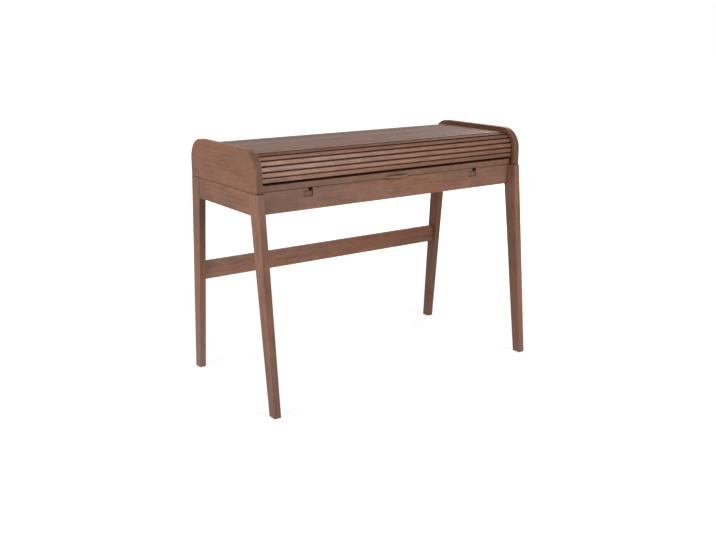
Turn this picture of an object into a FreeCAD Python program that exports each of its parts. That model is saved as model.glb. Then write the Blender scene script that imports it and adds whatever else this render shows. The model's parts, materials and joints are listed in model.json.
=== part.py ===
"""Tambour desk: a splayed base, a shallow case closed by a slatted shutter, and a pull-out worktop.

Millimetres. +Z is up, the front faces -Y, and the origin is the middle of the footprint on the floor.
"""
import FreeCAD
import Part
import math
import os
import Sketcher

doc = FreeCAD.newDocument("tambour_desk")
sheet = doc.addObject("Spreadsheet::Sheet", "dims")

# Driving dimensions: alias, size and what it measures.
SIZES = (
    ("case_width", 1100, "over the end panels"),
    ("case_depth", 470, "end panel, front to back"),
    ("panel_height", 133, "end panel, bottom to top"),
    ("panel_thick", 24, "end panel"),
    ("corner_radius", 75, "end panel's top corners"),
    ("base_height", 717, "floor to the top of the base"),
    ("leg_thick", 24.5, "leg along X"),
    ("leg_inset", 0.5, "leg's outer face behind the panel's"),
    ("leg_top_depth", 60.5, "leg along Y at its top"),
    ("front_foot_depth", 36, "front leg along Y at the floor"),
    ("back_foot_depth", 34.5, "back leg along Y at the floor"),
    ("front_proud", 5, "front leg's top ahead of the panel"),
    ("back_proud", 2, "back leg's top behind the panel"),
    ("front_splay", 67, "front foot ahead of its leg's top"),
    ("back_splay", 50, "back foot behind its leg's top"),
    ("glide_thick", 1, "disc under a foot"),
    ("glide_diameter", 20, "disc under a foot"),
    ("rail_height", 72, "apron, back rail and side rails"),
    ("rail_thick", 20, "apron, back rail and side rails"),
    ("rail_inset", 1, "side rail's outer face behind the leg's"),
    ("apron_setback", 28, "apron's face behind the panel's front"),
    ("back_rail_clear", 6, "back rail ahead of the canvas that comes down behind it"),
    ("stretcher_bottom", 341, "height above the floor"),
    ("stretcher_height", 65, "stretcher"),
    ("stretcher_thick", 20, "stretcher"),
    ("dowel_diameter", 8, "all dowels"),
    ("dowel_in_rail", 18, "dowel's length in a rail's end"),
    ("dowel_in_leg", 12, "dowel's length in a leg"),
    ("dowel_low", 12, "lower cross dowel above the rail's bottom"),
    ("dowel_step", 24, "between the dowels of a rail's end"),
    ("side_dowel_low", 25, "lower side dowel above the rail's bottom"),
    ("panel_dowel_inset", 8.5, "panel dowel's axis from the panel's outer face"),
    ("panel_dowel_end", 30, "panel dowel's axis from the panel's front or back"),
    ("worktop_thick", 20, "pull-out worktop"),
    ("worktop_setback", 21, "worktop's edge behind the panel's front"),
    ("worktop_back_gap", 12, "worktop's back edge ahead of the canvas that comes down behind it"),
    ("worktop_side_gap", 1.5, "worktop to end panel"),
    ("worktop_lift", 0.5, "running gap over the base"),
    ("worktop_travel", 200, "how far the worktop pulls out"),
    ("pull_width", 94, "finger pull"),
    ("pull_reach", 16, "finger pull's middle ahead of the worktop"),
    ("pull_thick", 11.5, "finger pull"),
    ("pull_drop", 2, "finger pull below the worktop"),
    ("pull_groove", 4, "half width of the finger pull's groove"),
    ("notch_place", 348, "middle of the notches from the middle of the desk"),
    ("notch_width", 36, "notch, lower part"),
    ("notch_neck", 17, "notch, upper part"),
    ("notch_neck_height", 11, "notch, upper part"),
    ("notch_height", 30, "whole notch"),
    ("runner_gap", 1, "runner to notch"),
    ("runner_recess", 5, "runner's end behind the apron's face"),
    ("runner_length", 300, "runner along Y"),
    ("runner_bare", 11, "front length of a runner's foot with no web"),
    ("ledger_thick", 15, "ledger along X"),
    ("ledger_height", 30, "ledger"),
    ("ledger_gap", 4, "ledger's end to a leg"),
    ("stop_width", 120, "worktop stop along X"),
    ("stop_thick", 18, "worktop stop along Y"),
    ("stop_height", 15, "worktop stop"),
    ("stop_gap", 2, "stop to apron when the worktop is out"),
    ("stop_screw_place", 40, "stop's screws from the middle of the desk"),
    ("screw_diameter", 4, "screw shank"),
    ("screw_head", 8, "screw head across"),
    ("screw_head_height", 3, "screw head"),
    ("screw_bite", 14, "screw's length in the worktop"),
    ("screw_grip", 8, "screw's length in what it holds"),
    ("screw_margin", 45, "runner screw to the end of the web"),
    ("floor_lift", 3.5, "organiser floor above the worktop"),
    ("board_thick", 8, "organiser boards, false back and back panel"),
    ("floor_depth", 139, "organiser floor along Y"),
    ("floor_back_gap", 46, "organiser floor's back ahead of the panel's back"),
    ("housing_depth", 5, "organiser floor let into the end panels"),
    ("false_back_height", 57, "false back"),
    ("divider_height", 63, "divider"),
    ("divider_depth", 126, "divider along Y"),
    ("divider_place", 180, "divider from the middle of the desk"),
    ("back_panel_rise", 78, "back panel above the base"),
    ("back_panel_clear", 5, "back panel behind the slats' faces"),
    ("shutter_inset", 15, "shutter's face inside the panel's edge"),
    ("slat_thick", 7, "slat"),
    ("slat_width", 13.8, "slat along the shutter"),
    ("slat_chamfer", 1.2, "slat's outer edges"),
    ("slat_gap", 3, "slat to slat along the canvas"),
    ("slat_end_gap", 1, "slat to end panel"),
    ("lead_gap", 9, "lead rail above the worktop"),
    ("tail_drop", 15, "closed shutter's tail below the back curve"),
    ("tongue_thick", 3.5, "tongue on a slat's end"),
    ("tongue_width", 8, "tongue on a slat's end"),
    ("tongue_length", 8, "tongue on a slat's end"),
    ("groove_end_gap", 2, "groove's bottom past the tongues' ends"),
    ("groove_ease", 3.4, "groove outside the tongues"),
    ("groove_under", 0.4, "groove inside the tongues"),
    ("bend_ease", 11.4, "added to the radius of the groove's inner corners"),
    ("canvas_thick", 0.7, "canvas"),
    ("canvas_margin", 27, "canvas edge to end panel"),
    ("glue_line", 0.1, "canvas to slat"),
)
for row, (alias, number, note) in enumerate(SIZES, 1):
    sheet.set(f"A{row}", note)
    sheet.set(f"B{row}", str(number))
    sheet.setAlias(f"B{row}", alias)
doc.recompute()

# Places that several pieces share, as expressions on the sheet.
FRONT = "((dims.front_splay + dims.front_proud - dims.case_depth - dims.back_proud - dims.back_splay) / 2)"
BACK = f"({FRONT} + dims.case_depth)"
PANEL_OUTER = "(dims.case_width / 2)"
PANEL_INNER = "(dims.case_width / 2 - dims.panel_thick)"
LEG_OUTER = "(dims.case_width / 2 - dims.leg_inset)"
LEG_INNER = f"({LEG_OUTER} - dims.leg_thick)"
BASE_TOP = "dims.base_height"
RAIL_BOTTOM = "(dims.base_height - dims.rail_height)"
APRON_FRONT = f"({FRONT} + dims.apron_setback)"
APRON_BACK = f"({APRON_FRONT} + dims.rail_thick)"
WORKTOP_BOTTOM = "(dims.base_height + dims.worktop_lift)"
WORKTOP_TOP = f"({WORKTOP_BOTTOM} + dims.worktop_thick)"
WORKTOP_FRONT = f"({FRONT} + dims.worktop_setback)"
FLOOR_BOTTOM = f"({WORKTOP_TOP} + dims.floor_lift)"
FLOOR_TOP = f"({FLOOR_BOTTOM} + dims.board_thick)"
FLOOR_BACK = f"({BACK} - dims.floor_back_gap)"
FLOOR_FRONT = f"({FLOOR_BACK} - dims.floor_depth)"
CANVAS_RADIUS = "(dims.corner_radius - dims.shutter_inset - dims.slat_thick)"
CURVE_FRONT = f"({FRONT} + dims.corner_radius)"
CURVE_BACK = f"({BACK} - dims.corner_radius)"
CURVE_HEIGHT = "(dims.base_height + dims.panel_height - dims.corner_radius)"
CANVAS_BACK = f"({CURVE_BACK} + {CANVAS_RADIUS})"
CLEAR_HALF = f"min({PANEL_INNER}; {LEG_INNER})"
SLAT_HALF_LENGTH = f"({CLEAR_HALF} - dims.slat_end_gap)"
GROOVE_BOTTOM = f"({SLAT_HALF_LENGTH} + dims.tongue_length + dims.groove_end_gap)"


def size(expression):
    """Value of an expression on the sheet."""
    return float(sheet.evalExpression(expression))


def origin_plane(body, role):
    """One of a body's own three planes."""
    return next(plane for plane in body.Origin.OriginFeatures if plane.Role == role)


def add_outline(body, name, role, corners):
    """Closed sketch with straight sides; each corner is a pair of expressions."""
    sketch = body.newObject("Sketcher::SketchObject", name)
    sketch.AttachmentSupport = [(origin_plane(body, role), "")]
    sketch.MapMode = "FlatFace"
    points = [FreeCAD.Vector(size(across), size(up), 0) for across, up in corners]
    for i, point in enumerate(points):
        sketch.addGeometry(Part.LineSegment(point, points[(i + 1) % len(points)]))
    for i in range(len(points)):
        sketch.addConstraint(Sketcher.Constraint("Coincident", i, 2, (i + 1) % len(points), 1))
    for i, corner in enumerate(corners):
        for kind, expression in zip(("DistanceX", "DistanceY"), corner):
            index = sketch.addConstraint(Sketcher.Constraint(kind, -1, 1, i, 1, size(expression)))
            sketch.setExpression(f"Constraints[{index}]", expression)
    return sketch


def add_pad(body, sketch, length, reverse=False):
    """Pad of a sketch, with its length bound to an expression."""
    pad = body.newObject("PartDesign::Pad", sketch.Name + "_pad")
    pad.Profile = sketch
    pad.setExpression("Length", length)
    pad.Reversed = reverse
    return pad


def make_board(label, corners, start, thickness, role="YZ_Plane"):
    """Flat piece: an outline in side view (or front view) padded to its thickness."""
    body = doc.addObject("PartDesign::Body", label)
    sketch = add_outline(body, label + "_outline", role, corners)
    add_pad(body, sketch, thickness, reverse=role == "XZ_Plane")
    body.setExpression("Placement.Base." + ("x" if role == "YZ_Plane" else "y"), start)
    return body


def make_box(label, low, sizes):
    """Box from its lowest corner and its three sizes, all expressions."""
    box = doc.addObject("Part::Box", label)
    for name, expression in zip(("Length", "Width", "Height"), sizes):
        box.setExpression(name, expression)
    for name, expression in zip("xyz", low):
        box.setExpression("Placement.Base." + name, expression)
    return box


def make_peg(label, foot, length, diameter, along="z"):
    """Round bar that starts at foot and runs along +X, +Y or +Z."""
    peg = doc.addObject("Part::Cylinder", label)
    peg.setExpression("Radius", f"({diameter}) / 2")
    peg.setExpression("Height", length)
    turn = {"x": ((0, 1, 0), 90), "y": ((1, 0, 0), -90), "z": ((0, 0, 1), 0)}[along]
    peg.Placement.Rotation = FreeCAD.Rotation(FreeCAD.Vector(*turn[0]), turn[1])
    for name, expression in zip("xyz", foot):
        peg.setExpression("Placement.Base." + name, expression)
    return peg


def make_group(label, pieces):
    """Several separate solids under one name."""
    group = doc.addObject("Part::Compound", label)
    group.Links = pieces
    return group


def cut(label, base, tool):
    """Piece with another shape taken out of it."""
    piece = doc.addObject("Part::Cut", label)
    piece.Base = base
    piece.Tool = tool
    return piece


# Legs: outlines in side view, straight and tapered from the case down to the feet.
FRONT_TOP = (f"({FRONT} - dims.front_proud)", f"({FRONT} - dims.front_proud + dims.leg_top_depth)")
FRONT_FOOT = (f"({FRONT_TOP[0]} - dims.front_splay)",
              f"({FRONT_TOP[0]} - dims.front_splay + dims.front_foot_depth)")
BACK_TOP = (f"({BACK} + dims.back_proud - dims.leg_top_depth)", f"({BACK} + dims.back_proud)")
BACK_FOOT = (f"({BACK_TOP[1]} + dims.back_splay - dims.back_foot_depth)",
             f"({BACK_TOP[1]} + dims.back_splay)")


def leg_edge(top, foot, height):
    """Y of a leg's edge at a height, on the straight line from its top to its foot."""
    drop = f"(dims.base_height - ({height})) / (dims.base_height - dims.glide_thick)"
    return f"({top} + ({foot} - {top}) * {drop})"


SIDES = (("left", -1), ("right", 1))


def side_start(sign, inner, outer):
    """Lower X of a piece that lies between two distances from the middle, on either side."""
    return inner if sign > 0 else f"-({outer})"


blanks = {}
for side, sign in SIDES:
    for end, top, foot in (("front", FRONT_TOP, FRONT_FOOT), ("back", BACK_TOP, BACK_FOOT)):
        corners = ((foot[0], "dims.glide_thick"), (foot[1], "dims.glide_thick"),
                   (top[1], BASE_TOP), (top[0], BASE_TOP))
        name = f"{end}_{side}_leg"
        start = side_start(sign, LEG_INNER, LEG_OUTER)
        blanks[name] = make_board(name + "_blank", corners, start, "dims.leg_thick")

# Side rails fill the space between the legs of one end.
SIDE_RAIL_OUTER = f"({LEG_OUTER} - dims.rail_inset)"
SIDE_RAIL_INNER = f"({SIDE_RAIL_OUTER} - dims.rail_thick)"
FRONT_LEG_EDGE = (FRONT_TOP[1], FRONT_FOOT[1])
BACK_LEG_EDGE = (BACK_TOP[0], BACK_FOOT[0])
side_rail_corners = [(leg_edge(*edge, height), height)
                     for edge, height in ((FRONT_LEG_EDGE, RAIL_BOTTOM), (BACK_LEG_EDGE, RAIL_BOTTOM),
                                          (BACK_LEG_EDGE, BASE_TOP), (FRONT_LEG_EDGE, BASE_TOP))]
for side, sign in SIDES:
    name = f"{side}_side_rail"
    start = side_start(sign, SIDE_RAIL_INNER, SIDE_RAIL_OUTER)
    blanks[name] = make_board(name + "_blank", side_rail_corners, start, "dims.rail_thick")

# Front apron: its top edge has an L-shaped notch for each runner.
NOTCHES = {"left": "(-dims.notch_place - dims.notch_width / 2)",
           "right": "(dims.notch_place - dims.notch_width / 2)"}
NOTCH_FOOT = "(dims.base_height - dims.notch_height)"
NOTCH_SHOULDER = "(dims.base_height - dims.notch_neck_height)"


def notch_corners(left):
    """Corners of one notch, from its left shoulder round to its right edge."""
    right = f"({left} + dims.notch_width)"
    neck = f"({right} - dims.notch_neck)"
    return [(neck, BASE_TOP), (neck, NOTCH_SHOULDER), (left, NOTCH_SHOULDER), (left, NOTCH_FOOT),
            (right, NOTCH_FOOT), (right, BASE_TOP)]


apron_corners = [(f"-{LEG_INNER}", BASE_TOP)]
for left_edge in NOTCHES.values():
    apron_corners += notch_corners(left_edge)
apron_corners += [(LEG_INNER, BASE_TOP), (LEG_INNER, RAIL_BOTTOM), (f"-{LEG_INNER}", RAIL_BOTTOM)]
blanks["front_apron"] = make_board("front_apron_blank", apron_corners, APRON_FRONT, "dims.rail_thick",
                                   "XZ_Plane")

# Back rail and stretcher, both between the back legs.
BETWEEN_LEGS = f"(2 * {LEG_INNER})"
BACK_RAIL_FRONT = f"({CANVAS_BACK} - dims.back_rail_clear - dims.rail_thick)"
blanks["back_rail"] = make_box("back_rail_blank", (f"-{LEG_INNER}", BACK_RAIL_FRONT, RAIL_BOTTOM),
                               (BETWEEN_LEGS, "dims.rail_thick", "dims.rail_height"))
STRETCHER_MIDDLE = "(dims.stretcher_bottom + dims.stretcher_height / 2)"
STRETCHER_AXIS = "(({0} + {1}) / 2)".format(leg_edge(BACK_TOP[0], BACK_FOOT[0], STRETCHER_MIDDLE),
                                            leg_edge(BACK_TOP[1], BACK_FOOT[1], STRETCHER_MIDDLE))
STRETCHER_FRONT = f"({STRETCHER_AXIS} - dims.stretcher_thick / 2)"
blanks["stretcher"] = make_box("stretcher_blank", (f"-{LEG_INNER}", STRETCHER_FRONT, "dims.stretcher_bottom"),
                               (BETWEEN_LEGS, "dims.stretcher_thick", "dims.stretcher_height"))

# Dowels of the base: pairs across each rail's ends and along each side rail's ends.
dowels = []
CROSS_DOWEL = "(dims.dowel_in_rail + dims.dowel_in_leg)"
SIDE_DOWEL = "(2 * dims.dowel_in_rail)"
STRETCHER_STEP = "(dims.stretcher_height - 2 * dims.dowel_low)"
CROSS_RAILS = (("apron", f"({APRON_FRONT} + dims.rail_thick / 2)", RAIL_BOTTOM, "dims.dowel_step"),
               ("back_rail", f"({BACK_RAIL_FRONT} + dims.rail_thick / 2)", RAIL_BOTTOM, "dims.dowel_step"),
               ("stretcher", STRETCHER_AXIS, "dims.stretcher_bottom", STRETCHER_STEP))
for side, sign in SIDES:
    cross_start = side_start(sign, f"({LEG_INNER} - dims.dowel_in_rail)", f"{LEG_INNER} + dims.dowel_in_leg")
    for rail, axis, bottom, step in CROSS_RAILS:
        for k in range(2):
            foot = (cross_start, axis, f"({bottom} + dims.dowel_low + {k} * {step})")
            dowels.append(make_peg(f"{rail}_{side}_dowel_{k}", foot, CROSS_DOWEL, "dims.dowel_diameter", "x"))
    middle = f"({sign} * ({SIDE_RAIL_INNER} + dims.rail_thick / 2))"
    for end, edge in (("front", FRONT_LEG_EDGE), ("back", BACK_LEG_EDGE)):
        for k in range(2):
            height = f"({RAIL_BOTTOM} + dims.side_dowel_low + {k} * dims.dowel_step)"
            foot = (middle, f"({leg_edge(*edge, height)} - dims.dowel_in_rail)", height)
            name = f"{end}_{side}_side_dowel_{k}"
            dowels.append(make_peg(name, foot, SIDE_DOWEL, "dims.dowel_diameter", "y"))

# Dowels that stand in the tops of the legs and hold the end panels.
PANEL_DOWEL_FOOT = "(dims.base_height - dims.dowel_in_leg)"
PANEL_DOWELS = {"front": f"({FRONT} + dims.panel_dowel_end)", "back": f"({BACK} - dims.panel_dowel_end)"}
for side, sign in SIDES:
    across = f"({sign} * ({PANEL_OUTER} - dims.panel_dowel_inset))"
    for end, along in PANEL_DOWELS.items():
        dowels.append(make_peg(f"{end}_{side}_panel_dowel", (across, along, PANEL_DOWEL_FOOT),
                               "(2 * dims.dowel_in_leg)", "dims.dowel_diameter"))
all_dowels = make_group("dowels", dowels)
parts = [all_dowels]

# The shutter's grooves run on from the end panels into the back legs.
GROOVE_IN = f"({CANVAS_RADIUS} - dims.groove_under)"
GROOVE_OUT = f"({CANVAS_RADIUS} + dims.tongue_thick + dims.groove_ease)"
for side, sign in SIDES:
    name = f"back_{side}_leg"
    start = side_start(sign, LEG_INNER, GROOVE_BOTTOM)
    channel = make_box(name + "_channel", (start, f"({CURVE_BACK} + {GROOVE_IN})", RAIL_BOTTOM),
                       (f"({GROOVE_BOTTOM} - {LEG_INNER})", f"({GROOVE_OUT} - {GROOVE_IN})",
                        "dims.rail_height"))
    blanks[name] = cut(name + "_grooved", blanks[name], channel)
for name, blank in blanks.items():
    parts.append(cut(name, blank, all_dowels))

# Glides: a disc under the middle of each foot.
glides = []
for side, sign in SIDES:
    for end, foot in (("front", FRONT_FOOT), ("back", BACK_FOOT)):
        middle = (f"({sign} * ({LEG_OUTER} - dims.leg_thick / 2))", f"(({foot[0]} + {foot[1]}) / 2)", "0")
        glides.append(make_peg(f"{end}_{side}_glide", middle, "dims.glide_thick", "dims.glide_diameter"))
parts.append(make_group("foot_glides", glides))


def round_corners(label, block, radius, top):
    """Block with its two upper corners, the edges along X, rounded."""
    doc.recompute()
    fillet = doc.addObject("Part::Fillet", label)
    fillet.Base = block
    edges = []
    for index, edge in enumerate(block.Shape.Edges, 1):
        along_x = edge.BoundBox.XLength > edge.BoundBox.YLength + edge.BoundBox.ZLength
        if along_x and abs(edge.BoundBox.ZMax - top) < 0.01:
            edges.append((index, radius, radius))
    fillet.Edges = edges
    return fillet


def channel_block(label, start, reach, radius):
    """Rounded block whose sides are at reach from the axes of the shutter's curves."""
    block = make_box(label + "_block", (start, f"({CURVE_FRONT} - {reach})", BASE_TOP),
                     (f"({GROOVE_BOTTOM} - {PANEL_INNER})", f"({CURVE_BACK} - {CURVE_FRONT} + 2 * {reach})",
                      f"({CURVE_HEIGHT} + {reach} - {BASE_TOP})"))
    return round_corners(label, block, size(radius), size(f"{CURVE_HEIGHT} + {reach}"))


# End panels: rounded boards with the shutter's groove and a housing for the organiser floor.
for side, sign in SIDES:
    name = f"{side}_end_panel"
    start = side_start(sign, PANEL_INNER, PANEL_OUTER)
    board = make_box(name + "_board", (start, FRONT, BASE_TOP),
                     ("dims.panel_thick", "dims.case_depth", "dims.panel_height"))
    rounded = round_corners(name + "_rounded", board, size("dims.corner_radius"),
                            size("dims.base_height + dims.panel_height"))
    groove_start = side_start(sign, PANEL_INNER, GROOVE_BOTTOM)
    outside = channel_block(name + "_outside", groove_start, GROOVE_OUT, GROOVE_OUT)
    inside = channel_block(name + "_inside", groove_start, GROOVE_IN, f"{GROOVE_IN} + dims.bend_ease")
    groove = cut(name + "_groove", outside, inside)
    housing_start = side_start(sign, PANEL_INNER, f"{PANEL_INNER} + dims.housing_depth")
    housing = make_box(name + "_housing", (housing_start, FLOOR_FRONT, FLOOR_BOTTOM),
                       ("dims.housing_depth", "dims.floor_depth", "dims.board_thick"))
    grooved = cut(name + "_grooved", rounded, make_group(name + "_cuts", [groove, housing]))
    parts.append(cut(name, grooved, all_dowels))

# Boards inside the case.
BETWEEN_PANELS = f"(2 * {PANEL_INNER})"
BACK_PANEL_FRONT = f"({CANVAS_BACK} + dims.slat_thick + dims.back_panel_clear)"
parts.append(make_box("back_panel", (f"-{CLEAR_HALF}", BACK_PANEL_FRONT, RAIL_BOTTOM),
                      (f"(2 * {CLEAR_HALF})", "dims.board_thick",
                       "(dims.rail_height + dims.back_panel_rise)")))
FLOOR_HALF = f"({PANEL_INNER} + dims.housing_depth)"
parts.append(make_box("organiser_floor", (f"-{FLOOR_HALF}", FLOOR_FRONT, FLOOR_BOTTOM),
                      (f"(2 * {FLOOR_HALF})", "dims.floor_depth", "dims.board_thick")))
FALSE_BACK_FRONT = f"({FLOOR_BACK} - dims.board_thick)"
parts.append(make_box("false_back", (f"-{PANEL_INNER}", FALSE_BACK_FRONT, FLOOR_TOP),
                      (BETWEEN_PANELS, "dims.board_thick", "dims.false_back_height")))
for side, sign in SIDES:
    start = f"({sign} * dims.divider_place - dims.board_thick / 2)"
    parts.append(make_box(f"{side}_divider", (start, f"({FALSE_BACK_FRONT} - dims.divider_depth)", FLOOR_TOP),
                          ("dims.board_thick", "dims.divider_depth", "dims.divider_height")))

# Ledgers on the side rails, which carry the worktop's ends.
LEDGER_FRONT = f"({FRONT_TOP[1]} + dims.ledger_gap)"
LEDGER_LENGTH = f"({BACK_TOP[0]} - dims.ledger_gap - {LEDGER_FRONT})"
for side, sign in SIDES:
    start = side_start(sign, f"({SIDE_RAIL_INNER} - dims.ledger_thick)", SIDE_RAIL_INNER)
    parts.append(make_box(f"{side}_ledger", (start, LEDGER_FRONT, "(dims.base_height - dims.ledger_height)"),
                          ("dims.ledger_thick", LEDGER_LENGTH, "dims.ledger_height")))

# Runners: L-shaped bars under the worktop, whose feet stay under the apron's shoulders.
RUNNER_FRONT = f"({APRON_FRONT} + dims.runner_recess)"
RUNNER_FOOT = f"({NOTCH_FOOT} + dims.runner_gap)"
RUNNER_SHOULDER = f"({NOTCH_SHOULDER} - dims.runner_gap)"
screw_places = []
runner_blanks = {}
for side, _ in SIDES:
    name = f"{side}_runner"
    left = f"({NOTCHES[side]} + dims.runner_gap)"
    right = f"({NOTCHES[side]} + dims.notch_width - dims.runner_gap)"
    web = f"({NOTCHES[side]} + dims.notch_width - dims.notch_neck + dims.runner_gap)"
    corners = [(left, RUNNER_FOOT), (right, RUNNER_FOOT), (right, WORKTOP_BOTTOM), (web, WORKTOP_BOTTOM),
               (web, RUNNER_SHOULDER), (left, RUNNER_SHOULDER)]
    bar = make_board(name + "_bar", corners, RUNNER_FRONT, "dims.runner_length", "XZ_Plane")
    bare = make_box(name + "_bare", (web, RUNNER_FRONT, RUNNER_SHOULDER),
                    (f"({right} - {web})", "dims.runner_bare", f"({WORKTOP_BOTTOM} - {RUNNER_SHOULDER})"))
    runner_blanks[name] = cut(name + "_blank", bar, bare)
    middle = f"(({web} + {right}) / 2)"
    for place in (f"({RUNNER_FRONT} + dims.runner_bare + dims.screw_margin)",
                  f"({RUNNER_FRONT} + dims.runner_length - dims.screw_margin)"):
        screw_places.append((middle, place, RUNNER_FOOT))

# Stop: a bar under the worktop that reaches the apron's back when the worktop is fully out.
STOP_FRONT = f"({APRON_BACK} + dims.worktop_travel + dims.stop_gap)"
STOP_BOTTOM = f"({WORKTOP_BOTTOM} - dims.stop_height)"
stop_blank = make_box("worktop_stop_blank", ("(-dims.stop_width / 2)", STOP_FRONT, STOP_BOTTOM),
                      ("dims.stop_width", "dims.stop_thick", "dims.stop_height"))
for _, sign in SIDES:
    across = f"({sign} * dims.stop_screw_place)"
    screw_places.append((across, f"({STOP_FRONT} + dims.stop_thick / 2)", STOP_BOTTOM))

# Screws, with their heads sunk in what they hold; each hole starts at the piece's underside.
screws = []
sinks = []
HEAD_SEAT = f"({WORKTOP_BOTTOM} - dims.screw_grip)"
for index, (across, along, underside) in enumerate(screw_places):
    shank = make_peg(f"shank_{index}", (across, along, HEAD_SEAT), "(dims.screw_grip + dims.screw_bite)",
                     "dims.screw_diameter")
    head = make_peg(f"head_{index}", (across, along, f"({HEAD_SEAT} - dims.screw_head_height)"),
                    "dims.screw_head_height", "dims.screw_head")
    screw = doc.addObject("Part::Fuse", f"screw_{index}")
    screw.Base = shank
    screw.Tool = head
    screws.append(screw)
    sinks.append(make_peg(f"sink_{index}", (across, along, underside), f"({HEAD_SEAT} - {underside})",
                          "dims.screw_head"))
runner_screws = make_group("runner_screws", screws)
screw_holes = make_group("screw_holes", screws + sinks)
parts.append(runner_screws)
for name, blank in runner_blanks.items():
    parts.append(cut(name, blank, screw_holes))
parts.append(cut("worktop_stop", stop_blank, screw_holes))

# Worktop: a board that runs over the apron and the ledgers and under the organiser floor.
WORKTOP_HALF = f"({PANEL_INNER} - dims.worktop_side_gap)"
WORKTOP_DEPTH = f"({CANVAS_BACK} - dims.worktop_back_gap - {WORKTOP_FRONT})"
worktop_board = make_box("worktop_board", (f"-{WORKTOP_HALF}", WORKTOP_FRONT, WORKTOP_BOTTOM),
                         (f"(2 * {WORKTOP_HALF})", WORKTOP_DEPTH, "dims.worktop_thick"))
parts.append(cut("worktop", worktop_board, runner_screws))

# Finger pull: a half-moon lip on the worktop's edge with a groove along its top.
PULL_RADIUS = "((dims.pull_width ^ 2 / 4 + dims.pull_reach ^ 2) / (2 * dims.pull_reach))"
PULL_BOTTOM = f"({WORKTOP_BOTTOM} - dims.pull_drop)"
disc = make_peg("pull_disc", ("0", f"({WORKTOP_FRONT} - dims.pull_reach + {PULL_RADIUS})", PULL_BOTTOM),
                "dims.pull_thick", f"2 * {PULL_RADIUS}")
slab = make_box("pull_slab", ("(-dims.pull_width / 2)", f"({WORKTOP_FRONT} - dims.pull_reach)", PULL_BOTTOM),
                ("dims.pull_width", "dims.pull_reach", "dims.pull_thick"))
lip = doc.addObject("Part::Common", "pull_lip")
lip.Base = disc
lip.Tool = slab
groove = make_peg("pull_groove_cut", ("(-dims.pull_width / 2)", f"({WORKTOP_FRONT} - dims.pull_groove)",
                                      f"({PULL_BOTTOM} + dims.pull_thick)"),
                  "dims.pull_width", "2 * dims.pull_groove", "x")
parts.append(cut("finger_pull", lip, groove))

# Shutter: slats on a canvas that runs up the front, over the top and down the back.
radius = size(CANVAS_RADIUS)
pitch = size("dims.slat_width + dims.slat_gap")
half_slat = size("dims.slat_width") / 2
curve = radius * math.pi / 2
flat = size(f"{CURVE_BACK} - {CURVE_FRONT}")
front_axis = size(CURVE_FRONT)
back_axis = size(CURVE_BACK)
axis_height = size(CURVE_HEIGHT)


def on_canvas(run):
    """Y, Z and turn in degrees on the canvas line; run is 0 where the front curve starts."""
    if run <= 0:
        return front_axis - radius, axis_height + run, 0
    if run <= curve:
        turn = run / radius
        return front_axis - radius * math.cos(turn), axis_height + radius * math.sin(turn), math.degrees(turn)
    if run <= curve + flat:
        return front_axis + run - curve, axis_height + radius, 90
    if run <= 2 * curve + flat:
        turn = (run - curve - flat) / radius
        along = back_axis + radius * math.sin(turn)
        return along, axis_height + radius * math.cos(turn), 90 + math.degrees(turn)
    return back_axis + radius, axis_height - (run - 2 * curve - flat), 180


first_run = size(f"{WORKTOP_TOP} + dims.lead_gap") + half_slat - axis_height
last_run = 2 * curve + flat + size("dims.tail_drop")
slat_count = 1 + int((last_run - first_run) / pitch)
SLAT_EDGE = "(dims.slat_width / 2)"
SLAT_FACE = "dims.slat_thick"
BEVEL = "dims.slat_chamfer"


def make_slat(label, run):
    """Slat with bevelled outer edges and a tongue at each end, lying along X on the canvas line."""
    body = doc.addObject("PartDesign::Body", label)
    corners = ((f"-{SLAT_EDGE}", "0"), (SLAT_EDGE, "0"), (SLAT_EDGE, f"({SLAT_FACE} - {BEVEL})"),
               (f"({SLAT_EDGE} - {BEVEL})", SLAT_FACE), (f"-({SLAT_EDGE} - {BEVEL})", SLAT_FACE),
               (f"-{SLAT_EDGE}", f"({SLAT_FACE} - {BEVEL})"))
    section = add_outline(body, label + "_section", "YZ_Plane", corners)
    add_pad(body, section, f"2 * {SLAT_HALF_LENGTH}")
    edge = "(dims.tongue_width / 2)"
    corners = ((f"-{edge}", "0"), (edge, "0"), (edge, "dims.tongue_thick"), (f"-{edge}", "dims.tongue_thick"))
    tongue = add_outline(body, label + "_tongue", "YZ_Plane", corners)
    tongue.setExpression("AttachmentOffset.Base.z", "-dims.tongue_length")
    add_pad(body, tongue, f"2 * ({SLAT_HALF_LENGTH} + dims.tongue_length)")
    along, up, turn = on_canvas(run)
    body.Placement = FreeCAD.Placement(FreeCAD.Vector(-size(SLAT_HALF_LENGTH), along, up),
                                       FreeCAD.Rotation(FreeCAD.Vector(1, 0, 0), 90 - turn))
    return body


for number in range(slat_count):
    label = f"slat_{number:02d}" if number else "lead_rail"
    parts.append(make_slat(label, first_run + number * pitch))


def canvas_edge(offset, start, end):
    """Edges of the canvas line between two runs, moved outward by offset."""
    stops = [start, 0, curve, curve + flat, 2 * curve + flat, end]
    edges = []
    for low, high in zip(stops, stops[1:]):
        points = []
        for run in (low, (low + high) / 2, high):
            along, up, turn = on_canvas(run)
            lean = math.radians(turn)
            points.append(FreeCAD.Vector(0, along - offset * math.cos(lean), up + offset * math.sin(lean)))
        bent = low in (0, curve + flat)
        edges.append((Part.Arc(*points) if bent else Part.LineSegment(points[0], points[2])).toShape())
    return edges


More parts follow.
